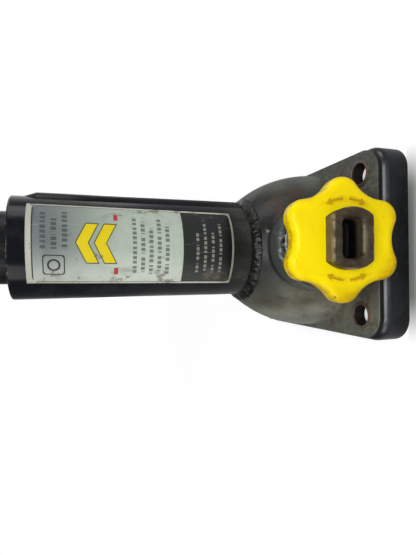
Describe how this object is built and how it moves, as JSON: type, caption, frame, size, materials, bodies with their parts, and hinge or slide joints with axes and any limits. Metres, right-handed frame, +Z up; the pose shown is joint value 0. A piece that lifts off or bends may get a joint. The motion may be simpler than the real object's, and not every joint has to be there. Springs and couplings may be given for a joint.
{
  "type": "screw bottle jack",
  "caption": "Mechanical bottle jack: a lifting screw in an upright tube on a bell-shaped gear housing, driven through a bevel pair by a slanted crank socket with a star knob.",
  "frame": {"origin": "on the lifting screw's axis, on the plane that the foot stands on", "axes": "+Z up along the lifting screw, -Y to the side of the crank socket and knob, +X along the foot's short side"},
  "size_m": [0.0952, 0.141, 0.207],
  "materials": {
    "foot_paint": "gloss black paint, worn to grey on the plate",
    "housing_paint": "satin black paint with rust patches",
    "tube_paint": "gloss black paint",
    "weld_paint": "black paint over a rough weld bead",
    "bush_paint": "gloss black",
    "ram_paint": "blackened steel, satin",
    "rivet_steel": "rust-brown rolled steel",
    "socket_steel": "bare forged steel, brown with rust",
    "gear_steel": "machined steel, greased",
    "screw_steel": "rolled steel, greased",
    "washer_steel": "plain steel",
    "bearing_steel": "polished bearing steel",
    "cage_brass": "pressed brass",
    "guide_bronze": "turned bronze",
    "nut_bronze": "turned bronze",
    "saddle_iron": "dark cast iron",
    "knob_yellow": "bright yellow, worn at the edges"
  },
  "bodies": {
    "frame": {"foot_plate": "foot_paint", "gear_housing": "housing_paint", "foot_rivets": "rivet_steel", "outer_tube": "tube_paint", "tube_weld": "weld_paint", "guide_bush": "guide_bronze", "pinion_bush": "bush_paint", "thrust_race_lower": "bearing_steel"},
    "screw": {"thrust_race_upper": "bearing_steel", "lead_screw": "screw_steel", "crown_gear": "gear_steel", "gear_pin": "gear_steel", "screw_stop_washer": "washer_steel", "screw_stop_clip": "washer_steel"},
    "cage": {"thrust_balls": "bearing_steel", "ball_cage": "cage_brass"},
    "drive": {"bevel_pinion": "gear_steel", "pinion_washer": "washer_steel", "shaft_washer": "washer_steel", "drive_socket": "socket_steel", "socket_pin": "washer_steel", "star_knob": "knob_yellow"},
    "ram": {"ram_tube": "ram_paint", "ram_nut": "nut_bronze", "nut_pins": "washer_steel", "ram_head": "ram_paint"},
    "saddle": {"saddle": "saddle_iron", "saddle_clip": "washer_steel"}
  },
  "joints": [
    {"name": "ram_slide", "type": "slide", "parent": "frame", "child": "ram", "axis": [0, 0, 1], "range_m": [0, 0.075]},
    {"name": "drive_turn", "type": "hinge", "parent": "frame", "child": "drive", "pos_m": [0, 0, 0.0292], "axis": [0, 0.9833, -0.1822], "range_deg": [0, 15660]},
    {"name": "screw_turn", "type": "hinge", "parent": "frame", "child": "screw", "pos_m": [0, 0, 0], "axis": [0, 0, -1], "range_deg": [0, 5400]},
    {"name": "cage_turn", "type": "hinge", "parent": "frame", "child": "cage", "pos_m": [0, 0, 0], "axis": [0, 0, -1], "range_deg": [0, 2700]},
    {"name": "saddle_swivel", "type": "hinge", "parent": "ram", "child": "saddle", "pos_m": [0, 0, 0.195], "axis": [0, 0, 1], "continuous": true}
  ],
  "couplings": [
    {"joint": "drive_turn", "follows": "ram_slide", "rad_per_m": 3644.2},
    {"joint": "screw_turn", "follows": "ram_slide", "rad_per_m": 1256.6},
    {"joint": "cage_turn", "follows": "ram_slide", "rad_per_m": 628.32}
  ]
}
